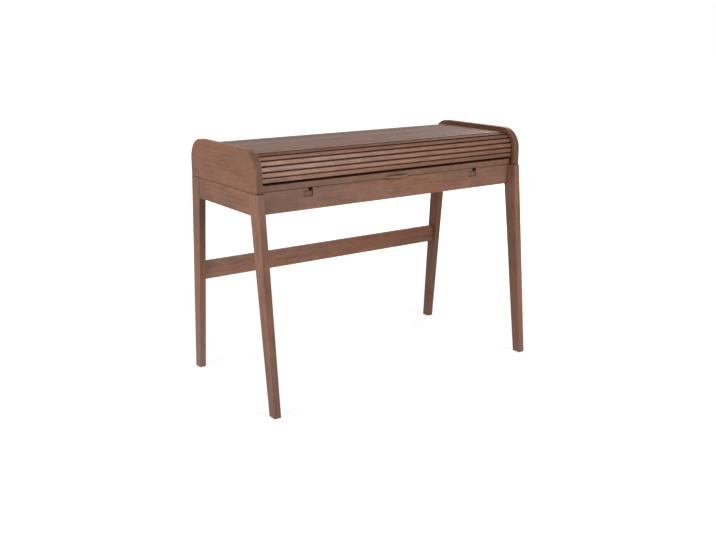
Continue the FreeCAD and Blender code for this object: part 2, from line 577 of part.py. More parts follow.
# Canvas: one cloth glued to the inner faces of all slats.
canvas_start = first_run - half_slat
canvas_end = first_run + (slat_count - 1) * pitch + half_slat
glued = -size("dims.glue_line")
bare_side = glued - size("dims.canvas_thick")
outer_edges = canvas_edge(glued, canvas_start, canvas_end)
inner_edges = canvas_edge(bare_side, canvas_start, canvas_end)
ends = [Part.makeLine(outer_edges[k].Vertexes[k].Point, inner_edges[k].Vertexes[k].Point) for k in (0, -1)]
section = Part.Face(Part.Wire(Part.__sortEdges__(outer_edges + inner_edges + ends)))
canvas_half = size(f"{PANEL_INNER} - dims.canvas_margin")
canvas = doc.addObject("Part::Feature", "canvas")
canvas.Shape = section.extrude(FreeCAD.Vector(2 * canvas_half, 0, 0))
canvas.Placement.Base = FreeCAD.Vector(-canvas_half, 0, 0)
parts.append(canvas)

# Every object has to be sound before any file is written.
doc.recompute()
for item in doc.Objects:
    if "Invalid" in item.State or "Error" in item.State:
        raise RuntimeError(f"{item.Name} failed: {item.State}")
os.makedirs("parts", exist_ok=True)
for part in parts:
    if part.Shape.isNull() or not part.Shape.isValid():
        raise RuntimeError(f"{part.Label} has no valid shape")
for part in parts:
    part.Shape.exportStep(f"parts/{part.Label}.step")
print(len(parts), "nodes,", slat_count, "slats")
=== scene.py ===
"""Tambour desk: splayed base, shallow case, pull-out worktop and slatted shutter, in stained wood.

Metres. +Z is up and the front faces -Y. Every piece's mesh lies where its solid does.
"""
import json
import math
import random

import bpy
from mathutils import Matrix, Vector

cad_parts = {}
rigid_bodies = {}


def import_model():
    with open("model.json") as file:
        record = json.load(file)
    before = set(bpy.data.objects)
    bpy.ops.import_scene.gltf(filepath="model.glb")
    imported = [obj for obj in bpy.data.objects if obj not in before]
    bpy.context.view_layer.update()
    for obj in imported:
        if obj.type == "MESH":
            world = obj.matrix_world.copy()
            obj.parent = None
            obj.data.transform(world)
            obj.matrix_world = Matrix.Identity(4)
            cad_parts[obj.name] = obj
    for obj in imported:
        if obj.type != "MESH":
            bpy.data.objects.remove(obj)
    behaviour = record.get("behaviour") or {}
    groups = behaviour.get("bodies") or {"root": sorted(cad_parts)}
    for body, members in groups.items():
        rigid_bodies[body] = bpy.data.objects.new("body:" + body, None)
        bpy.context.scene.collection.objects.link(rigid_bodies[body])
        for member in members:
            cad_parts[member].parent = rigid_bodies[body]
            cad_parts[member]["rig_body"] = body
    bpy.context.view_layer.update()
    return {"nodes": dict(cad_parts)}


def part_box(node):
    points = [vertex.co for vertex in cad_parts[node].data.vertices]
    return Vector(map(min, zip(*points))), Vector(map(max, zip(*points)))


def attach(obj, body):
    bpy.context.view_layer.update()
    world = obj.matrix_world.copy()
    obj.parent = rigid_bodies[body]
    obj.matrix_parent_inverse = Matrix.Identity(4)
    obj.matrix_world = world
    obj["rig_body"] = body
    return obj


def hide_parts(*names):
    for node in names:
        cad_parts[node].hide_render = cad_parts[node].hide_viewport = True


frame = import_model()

# Legs: four solid boards, sawn to a taper and set at a splay under the corners of the case.
# Their long arrises are rounded over and their ends only eased, so that the joints close. The
# back legs also carry the lower end of the shutter's groove.
LEG_ARRIS = 0.0018
END_EASE = 0.001
CHANNEL_WIDTH = 0.0073
CHANNEL_IN_FRONT_OF_TONGUE = 0.0004
CHANNEL_PAST_TONGUE = 0.002
CHANNEL_INWARD = 0.02
CHANNEL_ABOVE_LEG = 0.01
TOUCH = 1e-5
SPECK = TOUCH / 10
SHARP = math.radians(40)
MOSTLY = 0.9
WORN = 1
# Mark for a dark joint, or for painted shade.
DARK_JOINT_OR_SHADE = -1


def edit(piece, kind):
    """Opens a piece in edit mode with nothing selected."""
    bpy.ops.object.select_all(action="DESELECT")
    piece.select_set(True)
    bpy.context.view_layer.objects.active = piece
    bpy.ops.object.mode_set(mode="EDIT")
    bpy.ops.mesh.select_mode(type=kind)
    bpy.ops.mesh.select_all(action="DESELECT")


def pick_faces(piece, wanted):
    """Leaves a piece in edit mode with the faces selected whose normal and centre are wanted."""
    edit(piece, "FACE")
    bpy.ops.object.mode_set(mode="OBJECT")
    for face in piece.data.polygons:
        face.select = wanted(face.normal, face.center)
    bpy.ops.object.mode_set(mode="EDIT")


def pick_sharp_edges(piece, wanted):
    """Leaves a piece in edit mode with the sharp edges selected whose direction and middle are wanted."""
    edit(piece, "EDGE")
    bpy.ops.mesh.edges_select_sharp(sharpness=SHARP)
    bpy.ops.object.mode_set(mode="OBJECT")
    points = piece.data.vertices
    chosen = []
    for edge in piece.data.edges:
        start, end = (points[index].co for index in edge.vertices)
        if edge.select and wanted((end - start).normalized(), (start + end) / 2):
            chosen.append(edge.index)
    edit(piece, "EDGE")
    bpy.ops.object.mode_set(mode="OBJECT")
    for index in chosen:
        piece.data.edges[index].select = True
    bpy.ops.object.mode_set(mode="EDIT")


def start_board(name, low, high):
    """A cube at a board's size and place, with its place in its mesh."""
    bpy.ops.object.select_all(action="DESELECT")
    bpy.ops.mesh.primitive_cube_add(size=1, location=(low + high) / 2, scale=high - low)
    bpy.ops.object.transform_apply()
    board = bpy.context.object
    board.name = name
    return board


def taper(board, node):
    """Draws the board's ends to the depth and place the solid has there; gives the board's direction."""
    low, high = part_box(node)
    points = [vertex.co for vertex in frame["nodes"][node].data.vertices]
    middle = (low + high) / 2
    ends = []
    for level in (low.z, high.z):
        reach = [point.y for point in points if abs(point.z - level) < TOUCH]
        place = (max(reach) + min(reach)) / 2
        pick_faces(board, lambda normal, centre: abs(centre.z - level) < TOUCH)
        bpy.ops.transform.resize(value=(1, (max(reach) - min(reach)) / (high.y - low.y), 1),
                                 center_override=(middle.x, middle.y, level))
        bpy.ops.transform.translate(value=(0, place - middle.y, 0))
        bpy.ops.object.mode_set(mode="OBJECT")
        ends.append(Vector((middle.x, place, level)))
    return ends[1] - ends[0]


def mark_faces(piece, mark):
    """Writes a mark on the selected faces of a piece in object mode."""
    mesh = piece.data
    marks = mesh.attributes.get("arris") or mesh.attributes.new("arris", "FLOAT", "FACE")
    for face in mesh.polygons:
        if face.select:
            marks.data[face.index].value = mark


def round_edges(piece, radius, steps, wanted=lambda along, middle: True, mark=WORN):
    """Rounds the wanted sharp edges and marks the new faces: 1 where stain wears, -1 along a dark joint or
    as painted shade.
    """
    flats = {face.normal.to_tuple(2) for face in piece.data.polygons}
    pick_sharp_edges(piece, wanted)
    bpy.ops.mesh.bevel(offset=radius, segments=steps, affect="EDGES", clamp_overlap=True)
    bpy.ops.object.mode_set(mode="OBJECT")
    for face in piece.data.polygons:
        face.select = face.select and face.normal.to_tuple(2) not in flats
    mark_faces(piece, mark)


def combine(piece, tool, operation):
    """Takes a tool's shape out of a piece, or keeps what lies in both, and clears the tool away."""
    shape = piece.modifiers.new("shape", "BOOLEAN")
    shape.operation = operation
    shape.solver = "EXACT"
    shape.object = tool
    bpy.context.view_layer.objects.active = piece
    bpy.ops.object.modifier_apply(modifier="shape")
    bpy.data.objects.remove(tool)


PITH_AWAY = (0.05, 0.14)
TREE_HEIGHT = 40


def cut_from_tree(piece, along, seed, light_and_stain_pair):
    """Stores where each point of a board lay in its tree, with x along the grain, how far each face is end
    grain, and how light it is from the board's start to its end: partly the stain and partly painted light
    and shade."""
    chance = random.Random(seed)
    along = Vector(along).normalized()
    side = along.orthogonal().normalized()
    deep = along.cross(side)
    points = [vertex.co.copy() for vertex in piece.data.vertices]
    middle = sum(points, Vector()) / len(points)
    turn = chance.uniform(0, math.tau)
    pith = chance.uniform(*PITH_AWAY)
    start = Vector((chance.uniform(0, TREE_HEIGHT), pith * math.cos(turn), pith * math.sin(turn)))
    places = []
    for point in points:
        place = point - middle
        places.extend(Vector((place.dot(along), place.dot(side), place.dot(deep))) + start)
    grain = piece.data.attributes.new("grain", "FLOAT_VECTOR", "POINT")
    grain.data.foreach_set("vector", places)
    runs = [point.dot(along) for point in points]
    first = min(runs)
    rise = (light_and_stain_pair[1] - light_and_stain_pair[0]) / (max(runs) - first)
    stain_and_light_level = piece.data.attributes.new("stain_and_light_level", "FLOAT", "POINT")
    stain_and_light_level.data.foreach_set("value", [light_and_stain_pair[0] + rise * (run - first) for run in runs])
    ends = piece.data.attributes.new("end_grain", "FLOAT", "FACE")
    ends.data.foreach_set("value", [face.normal.dot(along) ** 2 for face in piece.data.polygons])


def finish_faces(piece, material):
    """Drops faces of no size, shades a piece smooth but for its broad faces, and gives it its material."""
    edit(piece, "VERT")
    bpy.ops.mesh.select_all(action="SELECT")
    bpy.ops.mesh.dissolve_degenerate(threshold=SPECK)
    bpy.ops.object.mode_set(mode="OBJECT")
    bpy.ops.object.shade_smooth_by_angle(angle=SHARP)
    flat_faces = piece.modifiers.new("flat_faces", "WEIGHTED_NORMAL")
    flat_faces.keep_sharp = True
    bpy.ops.object.modifier_apply(modifier="flat_faces")
    piece.data.materials.clear()
    piece.data.materials.append(material)


def dress(piece, node, along, material, light_and_stain_pair=(1, 1)):
    """Gives a board its grain, finish and levels of stain and painted light and shade, and puts it in its
    solid's place.
    """
    cut_from_tree(piece, along, node, light_and_stain_pair)
    finish_faces(piece, material)
    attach(piece, frame["nodes"][node]["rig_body"])
    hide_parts(node)


def swatch(red, green, blue):
    """Linear colour of a swatch given on the 0 to 255 scale."""
    return [((channel / 255 + 0.055) / 1.055) ** 2.4 for channel in (red, green, blue)] + [1]


def start_material(name):
    """A new material, with its shader nodes and the inputs of its surface."""
    material = bpy.data.materials.new(name)
    material.use_nodes = True
    nodes = material.node_tree.nodes
    return material, nodes, nodes["Principled BSDF"].inputs


def join(source, socket):
    """Links the output of one shader node to an input of another."""
    socket.id_data.links.new(source, socket)


def put(nodes, kind, links=(), values=(), **settings):
    """Adds a shader node, sets it up, and joins earlier nodes' outputs to its inputs."""
    node = nodes.new("ShaderNode" + kind)
    for name, setting in settings.items():
        setattr(node, name, setting)
    for socket, value in values:
        node.inputs[socket].default_value = value
    for socket, source in links:
        join(source, node.inputs[socket])
    return node


def spot_on(nodes):
    """Where on its object a point lies."""
    return put(nodes, "TexCoord").outputs["Object"]


# Dark colour of joints, and of painted shade in gaps, hollows, recesses and under overhangs.
SEAM_OR_SHADE_COLOUR = swatch(66, 30, 15)
END_GRAIN = swatch(112, 92, 80)
# Grey of a painted sheen that grows towards the floor, and the height where it ends.
LOW_SHEEN_GREY = swatch(146, 146, 146)
LOW_SHEEN_HEIGHT = 0.45
RING_SWAY = 0.02
PATCH_SHARE = 0.6
PORE_SHARE = 0.35
END_GRAIN_SHARE = 0.45
WEAR_SHARE = 0.12
SEAM_OR_SHADE_SHARE = 0.85
ROUGHNESS_SPREAD = 0.06


def stained_wood(name, dark, middle, light, red, grey, roughness, gloss, low_sheen=0):
    """Stained, satin-lacquered wood with growth rings, fibres, pores, patches and worn arrises, dark
    joints, painted shade on marked faces, and a painted grey sheen low down.
    """
    material, nodes, surface = start_material(name)
    place = put(nodes, "Attribute", attribute_name="grain").outputs["Vector"]
    stain_and_light_level = put(nodes, "Attribute", attribute_name="stain_and_light_level").outputs["Fac"]
    arris = put(nodes, "Attribute", attribute_name="arris").outputs["Fac"]
    ends = put(nodes, "Attribute", attribute_name="end_grain").outputs["Fac"]

    def stretched(source, along, across):
        return put(nodes, "Mapping", [("Vector", source)], [("Scale", (along, across, across))]).outputs[0]

    def noise(source, detail, coarse):
        return put(nodes, "TexNoise", [("Vector", source)],
                   [("Scale", 1), ("Detail", detail), ("Roughness", coarse)]).outputs

    def share(source, span, result):
        limits = zip(("From Min", "From Max", "To Min", "To Max"), (*span, *result))
        return put(nodes, "MapRange", [("Value", source)], limits).outputs[0]

    def weighed(source, weight, rest=None):
        links = [(0, source), (2, rest)] if rest else [(0, source)]
        return put(nodes, "Math", links, [(1, weight), (2, 0)], operation="MULTIPLY_ADD").outputs[0]

    def over(below, factor, colour):
        mix = put(nodes, "Mix", data_type="RGBA")
        join(factor, mix.inputs["Factor"])
        join(below, mix.inputs[6])
        mix.inputs[7].default_value = colour
        return mix.outputs[2]

    # The annual rings waver along the tree, and every finer mark follows them.
    waver = noise(stretched(place, along=1.7, across=11), detail=2, coarse=0.5)["Color"]
    sway = put(nodes, "VectorMath", [(0, waver)], [(1, (0.5, 0.5, 0.5))], operation="SUBTRACT").outputs[0]
    sway = put(nodes, "VectorMath", [(0, sway)], [(1, (0, RING_SWAY, RING_SWAY))],
               operation="MULTIPLY").outputs[0]
    wavy = put(nodes, "VectorMath", [(0, place), (1, sway)], operation="ADD").outputs[0]
    rings = put(nodes, "TexWave", [("Vector", wavy)],
                [("Scale", 21), ("Distortion", 5), ("Detail", 4), ("Detail Scale", 2.2)],
                wave_type="RINGS", rings_direction="X").outputs["Fac"]
    fibres = noise(stretched(wavy, along=5, across=330), detail=5, coarse=0.68)["Fac"]
    figure = noise(stretched(wavy, along=12, across=30), detail=3, coarse=0.6)["Fac"]
    cells = put(nodes, "TexVoronoi", [("Vector", stretched(wavy, along=70, across=1100))],
                [("Scale", 1)]).outputs["Distance"]
    pores = share(cells, (0.12, 0.34), (1, 0))

    streaks = weighed(fibres, weight=0.5)
    streaks = weighed(rings, weight=0.07, rest=streaks)
    streaks = weighed(figure, weight=0.42, rest=streaks)
    shades = put(nodes, "ValToRGB", [("Fac", streaks)])
    ramp = shades.color_ramp
    ramp.elements[0].position = 0.34
    ramp.elements[0].color = dark
    ramp.elements[1].position = 0.68
    ramp.elements[1].color = light
    ramp.elements.new(position=0.5).color = middle

    # The stain takes unevenly: redder and greyer patches, from board to board and along each.
    patches = noise(stretched(place, along=2.6, across=13), detail=2, coarse=0.5)["Fac"]
    colour = over(shades.outputs["Color"], share(patches, (0.5, 0.7), (0, PATCH_SHARE)), red)
    colour = over(colour, share(patches, (0.5, 0.3), (0, PATCH_SHARE)), grey)
    colour = over(colour, weighed(pores, weight=PORE_SHARE), dark)
    colour = over(colour, share(ends, (0.3, 1), (0, END_GRAIN_SHARE)), END_GRAIN)
    colour = over(colour, share(arris, (0, WORN), (0, WEAR_SHARE)), light)
    # Darkest along joints and on the faces marked for painted shade.
    colour = over(colour, share(arris, (0, DARK_JOINT_OR_SHADE), (0, SEAM_OR_SHADE_SHARE)), SEAM_OR_SHADE_COLOUR)
    # Painted sheen: greyer towards the floor, up to a height.
    if low_sheen:
        height = put(nodes, "SeparateXYZ", [("Vector", spot_on(nodes))]).outputs["Z"]
        colour = over(colour, share(height, (LOW_SHEEN_HEIGHT, 0), (0, low_sheen)), LOW_SHEEN_GREY)

    # Where less stain was left on, the wood is lighter and its colour weaker. The same level also holds
    # painted light and shade.
    depth = share(stain_and_light_level, (0.7, 1.3), (1.1, 0.85))
    toned = put(nodes, "HueSaturation", [("Color", colour), ("Saturation", depth), ("Value", stain_and_light_level)])
    join(toned.outputs["Color"], surface["Base Color"])
    dull = share(fibres, (0.3, 0.7), (roughness + ROUGHNESS_SPREAD, roughness - ROUGHNESS_SPREAD))
    join(dull, surface["Roughness"])
    relief = weighed(pores, weight=-0.7, rest=streaks)
    bump = put(nodes, "Bump", [("Height", relief)], [("Strength", 0.25), ("Distance", 0.0004)])
    join(bump.outputs["Normal"], surface["Normal"])
    surface["Specular IOR Level"].default_value = gloss
    return material


# The frame wood carries a painted grey sheen on its lower parts.
frame_wood = stained_wood("frame_wood_stain", dark=swatch(118, 80, 61), middle=swatch(143, 101, 80),
                          light=swatch(162, 118, 95), red=swatch(156, 98, 71), grey=swatch(130, 101, 85),
                          roughness=0.46, gloss=0.14, low_sheen=0.14)
tongue_low, tongue_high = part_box("slat_31")
channel_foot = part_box("back_rail")[0].z
# Each leg's levels, from foot to top, are partly stain and partly painted light and shade.
for node, light_and_stain_pair in (("front_left_leg", (0.85, 1.03)), ("front_right_leg", (0.99, 1.04)),
                    ("back_left_leg", (1.12, 0.78)), ("back_right_leg", (0.78, 0.82))):
    low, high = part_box(node)
    leg = start_board(node + "_finished", low, high)
    along = taper(leg, node)
    round_edges(leg, LEG_ARRIS, steps=4, wanted=lambda way, middle: abs(way.z) > MOSTLY)
    round_edges(leg, END_EASE, steps=2, mark=DARK_JOINT_OR_SHADE)
    if node.startswith("back"):
        side = math.copysign(1, low.x)
        left, right = sorted((side * (tongue_high.x + CHANNEL_PAST_TONGUE),
                              side * (tongue_high.x - CHANNEL_INWARD)))
        near = tongue_low.y - CHANNEL_IN_FRONT_OF_TONGUE
        cutter = start_board("cutter", Vector((left, near, channel_foot)),
                             Vector((right, near + CHANNEL_WIDTH, high.z + CHANNEL_ABOVE_LEG)))
        combine(leg, cutter, "DIFFERENCE")
    dress(leg, node, along, frame_wood, light_and_stain_pair)

# Side rails: one board between the front and back leg of each end, its ends sawn to the legs'
# slope and dowelled to them. Flush with the legs but for a hair, so that the joint shows as a line.
RAIL_ARRIS = 0.001
FRONT_TO_BACK = (0, 1, 0)
for node in ("left_side_rail", "right_side_rail"):
    low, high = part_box(node)
    rail = start_board(node + "_finished", low, high)
    taper(rail, node)
    round_edges(rail, RAIL_ARRIS, steps=3,
                wanted=lambda way, middle: abs(way.y) > MOSTLY and middle.z < high.z - TOUCH)
    round_edges(rail, END_EASE, steps=2, mark=DARK_JOINT_OR_SHADE)
    # Levels partly stain and partly painted light and shade.
    dress(rail, node, FRONT_TO_BACK, frame_wood, (0.95, 0.8))

# Front apron: the rail under the worktop, dowelled between the front legs. Two L-shaped notches
# are sawn in its top edge for the worktop's runners, and its free edges are sanded round.
APRON_ARRIS = 0.0012
SQUARE_END = 0.002
SIDE_TO_SIDE = (1, 0, 0)
PLAIN = 0
# Half-strength mark, for faint painted shade.
FAINT_PAINTED_SHADE = DARK_JOINT_OR_SHADE / 2


def copy_solid(node, name):
    """A welded copy of a solid's mesh, with its flat faces made whole again."""
    piece = bpy.data.objects.new(name, frame["nodes"][node].data.copy())
    bpy.context.scene.collection.objects.link(piece)
    edit(piece, "FACE")
    bpy.ops.mesh.select_all(action="SELECT")
    bpy.ops.mesh.remove_doubles(threshold=TOUCH)
    bpy.ops.mesh.dissolve_limited(angle_limit=math.radians(0.5))
    bpy.ops.mesh.customdata_custom_splitnormals_clear()
    bpy.ops.object.mode_set(mode="OBJECT")
    return piece


def slanting(part):
    """Whether a part of a face's normal shows that the face is on a rounded edge."""
    return 0.02 < part < 0.98


def mark_where(piece, wanted, mark):
    """Writes a mark on the faces whose normal and centre are wanted."""
    pick_faces(piece, wanted)
    bpy.ops.object.mode_set(mode="OBJECT")
    mark_faces(piece, mark)


low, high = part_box("front_apron")
apron = copy_solid("front_apron", "front_apron_finished")
free = high.x - SQUARE_END
# Painted shade: the bottom arris is darkened faintly where light from the floor would reach it.
round_edges(apron, APRON_ARRIS, steps=3, mark=FAINT_PAINTED_SHADE,
            wanted=lambda way, middle: abs(middle.x) < free and middle.z < low.z + TOUCH)
round_edges(apron, APRON_ARRIS, steps=3, mark=PLAIN, wanted=lambda way, middle: abs(middle.x) < free)
# Painted shadow: the top arris is darkened where the worktop overhangs it.
mark_where(apron, lambda normal, centre: centre.z > high.z - APRON_ARRIS and slanting(normal.z), DARK_JOINT_OR_SHADE)
# Levels partly stain and partly painted light and shade.
dress(apron, "front_apron", SIDE_TO_SIDE, frame_wood, (1.12, 1.01))

# Back rail and stretcher: the rail closes the base under the case at the back, and the stretcher
# ties the back legs together half way up. Both are plain boards, dowelled to the legs.
STRETCHER_ARRIS = 0.002
for node in ("back_rail", "stretcher"):
    board = start_board(node + "_finished", *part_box(node))
    round_edges(board, STRETCHER_ARRIS, steps=3, mark=PLAIN, wanted=lambda way, middle: abs(way.x) > MOSTLY)
    # Levels partly stain and partly painted light and shade.
    dress(board, node, SIDE_TO_SIDE, frame_wood, (1.18, 0.9))

# Foot glides: moulded black plastic discs, one pressed under each foot. Their small rounded rims
# keep them from catching on the floor when the desk is moved.
GLIDE_RIM = 0.0008
ROUND_STEPS = 48


def two_tone(nodes, pattern, dark, light):
    """A colour that goes from dark to light after a pattern."""
    shade = put(nodes, "ValToRGB", [("Fac", pattern)])
    shade.color_ramp.elements[0].color = dark
    shade.color_ramp.elements[1].color = light
    return shade.outputs["Color"]


def speckled(nodes, scale, detail):
    """Fine spots all over an object."""
    return put(nodes, "TexNoise", [("Vector", spot_on(nodes))],
               [("Scale", scale), ("Detail", detail)]).outputs["Fac"]


def start_disc(name, middle, radius, thick, steps, lean=(0, 0, 0)):
    """A cylinder at its size and place."""
    bpy.ops.object.select_all(action="DESELECT")
    bpy.ops.mesh.primitive_cylinder_add(vertices=steps, radius=radius, depth=thick, location=middle,
                                        rotation=lean)
    disc = bpy.context.object
    disc.name = name
    return disc


glide_black, nodes, surface = start_material("glide_black_plastic")
speckle = speckled(nodes, scale=900, detail=2)
join(two_tone(nodes, speckle, swatch(28, 26, 25), swatch(44, 41, 39)), surface["Base Color"])
grained = put(nodes, "Bump", [("Height", speckle)], [("Strength", 0.3), ("Distance", 0.0002)])
join(grained.outputs["Normal"], surface["Normal"])
surface["Roughness"].default_value = 0.55
glide_points = [vertex.co for vertex in frame["nodes"]["foot_glides"].data.vertices]
discs = []
for side in (-1, 1):
    for end in (-1, 1):
        own = [point for point in glide_points if point.x * side > 0 and point.y * end > 0]
        low = Vector([min(point[axis] for point in own) for axis in range(3)])
        high = Vector([max(point[axis] for point in own) for axis in range(3)])
        disc = start_disc("glide", (low + high) / 2, (high.x - low.x) / 2, high.z - low.z, ROUND_STEPS)
        bpy.ops.object.transform_apply()
        pick_sharp_edges(disc, lambda way, middle: middle.z < high.z - TOUCH)
        bpy.ops.mesh.bevel(offset=GLIDE_RIM, segments=3, affect="EDGES")
        bpy.ops.object.mode_set(mode="OBJECT")
        discs.append(disc)
for disc in discs:
    disc.select_set(True)
bpy.ops.object.join()
glides = bpy.context.object
glides.name = "foot_glides_finished"
finish_faces(glides, glide_black)
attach(glides, "desk")
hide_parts("foot_glides")

# Dowels: turned beech pins, glued half into each side of the leg, rail and panel joints. They are
# out of sight once the desk is together, so their solids only get their wood.
dowel_beech, nodes, surface = start_material("dowel_beech")
drawn_out = put(nodes, "Mapping", [("Vector", spot_on(nodes))], [("Scale", (120, 500, 500))]).outputs[0]
flecks = put(nodes, "TexNoise", [("Vector", drawn_out)], [("Scale", 1), ("Detail", 3)]).outputs["Fac"]
join(two_tone(nodes, flecks, swatch(190, 150, 110), swatch(222, 186, 146)), surface["Base Color"])
surface["Roughness"].default_value = 0.6
frame["nodes"]["dowels"].material_slots[0].material = dowel_beech

# End panels: the sides of the case, sawn from one wide board each with two rounded top corners
# and a routed groove that the slats' tongues run in. Dowelled down onto the legs and side rails.
PANEL_ARRIS = 0.0026
PANEL_CORNER = 0.075
PANEL_SEAM = 0.75 * DARK_JOINT_OR_SHADE
HAIR = Vector((5e-5, 5e-5, 5e-5))
case_wood = stained_wood("case_wood_stain", dark=swatch(118, 79, 58), middle=swatch(145, 100, 76),
                         light=swatch(163, 117, 91), red=swatch(156, 98, 71), grey=swatch(132, 99, 80),
                         roughness=0.46, gloss=0.14)
# Each panel's level is partly stain and partly painted light and shade.
for node, level in (("left_end_panel", 0.86), ("right_end_panel", 0.76)):
    low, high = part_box(node)
    panel = copy_solid(node, node + "_finished")
    blank = start_board("blank", low - HAIR, high + HAIR)
    round_edges(blank, PANEL_CORNER, steps=ROUND_STEPS,
                wanted=lambda way, middle: abs(way.x) > MOSTLY and middle.z > high.z)
    round_edges(blank, PANEL_ARRIS, steps=4)
    combine(panel, blank, "INTERSECT")
    mark_where(panel, lambda normal, centre: slanting(abs(normal.x)), WORN)
    mark_where(panel, lambda normal, centre: centre.z < low.z + PANEL_ARRIS and slanting(-normal.z),
               PANEL_SEAM)
    dress(panel, node, FRONT_TO_BACK, case_wood, (level, level))

# Ledgers: stained bearers glued inside the side rails, on which the worktop slides. Plain boards
# with their arrises just broken.
INNER_ARRIS = 0.0008
inner_wood = stained_wood("inner_wood_stain", dark=swatch(116, 82, 63), middle=swatch(144, 104, 83),
                          light=swatch(162, 121, 98), red=swatch(154, 101, 75), grey=swatch(132, 104, 88),
                          roughness=0.52, gloss=0.15)
for node in ("left_ledger", "right_ledger"):
    ledger = start_board(node + "_finished", *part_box(node))
    round_edges(ledger, INNER_ARRIS, steps=2)
    dress(ledger, node, FRONT_TO_BACK, inner_wood)

# Worktop: a veneered board that slides out over the apron on the ledgers. Its front edge is the
# strip that shows between the shutter and the apron.
WORKTOP_ARRIS = 0.0015
worktop_wood = stained_wood("worktop_wood_stain", dark=swatch(120, 84, 65), middle=swatch(146, 106, 85),
                            light=swatch(166, 124, 100), red=swatch(157, 102, 75),
                            grey=swatch(134, 106, 91), roughness=0.44, gloss=0.3)
low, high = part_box("worktop")
worktop = start_board("worktop_finished", low, high)
round_edges(worktop, WORKTOP_ARRIS, steps=3, wanted=lambda way, middle: middle.z > low.z + TOUCH)
# Painted shadow: the lower arrises are darkened where the worktop overhangs the apron.
round_edges(worktop, WORKTOP_ARRIS, steps=3, mark=DARK_JOINT_OR_SHADE)
# Levels partly stain and partly painted light and shade.
dress(worktop, "worktop", SIDE_TO_SIDE, worktop_wood, (0.82, 0.76))

# Finger pull: a half-moon lip glued to the worktop's front edge, with a hollow run along its top
# for the finger tips. It is a slice of a rounded disc.
PULL_ARRIS = 0.0027
PULL_STEPS = 360
PULL_HOLLOW = 0.004
HOLLOW_LENGTH = 0.2
SLICE_TOUCH = 1e-4


def trim(at, away, touch):
    """Cuts off what lies beyond a plane from the piece in edit mode, and closes the cut."""
    bpy.ops.mesh.select_all(action="SELECT")
    bpy.ops.mesh.bisect(plane_co=at, plane_no=away, use_fill=True, clear_outer=True, threshold=touch)


low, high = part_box("finger_pull")
reach = high.y - low.y
pull_radius = (high.x ** 2 + reach ** 2) / (2 * reach)
pull = start_disc("finger_pull_finished", (0, low.y + pull_radius, (low.z + high.z) / 2), pull_radius,
                  high.z - low.z, PULL_STEPS)
bpy.ops.object.transform_apply()
# Painted shadow: both rims are darkened, the lower one as the shadow under the lip.
round_edges(pull, PULL_ARRIS, steps=3, mark=DARK_JOINT_OR_SHADE)
edit(pull, "FACE")
trim((0, high.y, 0), (0, 1, 0), SLICE_TOUCH)
bpy.ops.object.mode_set(mode="OBJECT")
hollow = start_disc("hollow", (0, high.y - PULL_HOLLOW, high.z), PULL_HOLLOW, HOLLOW_LENGTH, ROUND_STEPS,
                    lean=(0, math.pi / 2, 0))
combine(pull, hollow, "DIFFERENCE")
# Painted shade: the lip's top and its hollow are darkened.
mark_where(pull, lambda normal, centre: centre.z > high.z - TOUCH or
           math.hypot(centre.y - high.y + PULL_HOLLOW, centre.z - high.z) < PULL_HOLLOW + TOUCH, DARK_JOINT_OR_SHADE)
dress(pull, "finger_pull", SIDE_TO_SIDE, worktop_wood)

# Runners and stop: L-shaped bars screwed under the worktop that slide in the apron's notches, and
# the bar that meets the apron when the worktop is fully out.
STRAIGHT = 0.9999
for node in ("left_runner", "right_runner", "worktop_stop"):
    bar = copy_solid(node, node + "_finished")
    left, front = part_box(node)[0].xy
    shoulder = max(vertex.co.z for vertex in bar.data.vertices if vertex.co.y < front + TOUCH)
    # Painted shadow: the front end's top and left arrises are darkened, as the shadow of the notch's
    # shoulder and wall.
    round_edges(bar, 2 * INNER_ARRIS, steps=2, mark=DARK_JOINT_OR_SHADE,
                wanted=lambda way, middle: middle.y < front + TOUCH and
                (middle.z > shoulder - TOUCH or middle.x < left + TOUCH))
    round_edges(bar, INNER_ARRIS / 2, steps=2,
                wanted=lambda way, middle: max(abs(part) for part in way) > STRAIGHT)
    # Painted shade: forward faces set back behind the front end are darkened, deep in the notch.
    mark_where(bar, lambda normal, centre: normal.y < -MOSTLY and centre.y > front + TOUCH, DARK_JOINT_OR_SHADE)
    grain = SIDE_TO_SIDE if node == "worktop_stop" else FRONT_TO_BACK
    dress(bar, node, grain, inner_wood)

# Screws: zinc-plated steel, driven up through the runners and the stop into the worktop. Their
# heads are sunk in and only show from below, so their solids only get their metal.
screw_zinc, nodes, surface = start_material("screw_zinc_steel")
smears = speckled(nodes, scale=700, detail=3)
join(two_tone(nodes, smears, swatch(150, 152, 154), swatch(196, 198, 200)), surface["Base Color"])
dull = put(nodes, "MapRange", [("Value", smears)], [("To Min", 0.28), ("To Max", 0.45)]).outputs[0]
join(dull, surface["Roughness"])
surface["Metallic"].default_value = 1
frame["nodes"]["runner_screws"].material_slots[0].material = screw_zinc

# Organiser and backs: pigeonholes of thin boards under the flat part of the shutter, an inner back
# that keeps the stored slats off what lies there, and the panel that closes the case behind.
for node, grain, slot, wood in (("organiser_floor", SIDE_TO_SIDE, "inner_wood", inner_wood),
                                ("false_back", SIDE_TO_SIDE, "inner_wood", inner_wood),
                                ("left_divider", FRONT_TO_BACK, "inner_wood", inner_wood),
                                ("right_divider", FRONT_TO_BACK, "inner_wood", inner_wood),
                                ("back_panel", SIDE_TO_SIDE, "case_wood", case_wood)):
    board = start_board(node + "_finished", *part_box(node))
    round_edges(board, INNER_ARRIS, steps=2)
    dress(board, node, grain, wood)

# Shutter: the lead rail and 31 slats, planed with small chamfers and tongued at both ends to run
# in the panels' grooves. Stained before they are glued to the cloth, so each has its own tone.
SLAT_ARRIS = 0.0004
SLAT_COUNT = 31
SLAT_SEED = 38449
SLAT_LEVELS = (0.72, 1.2)
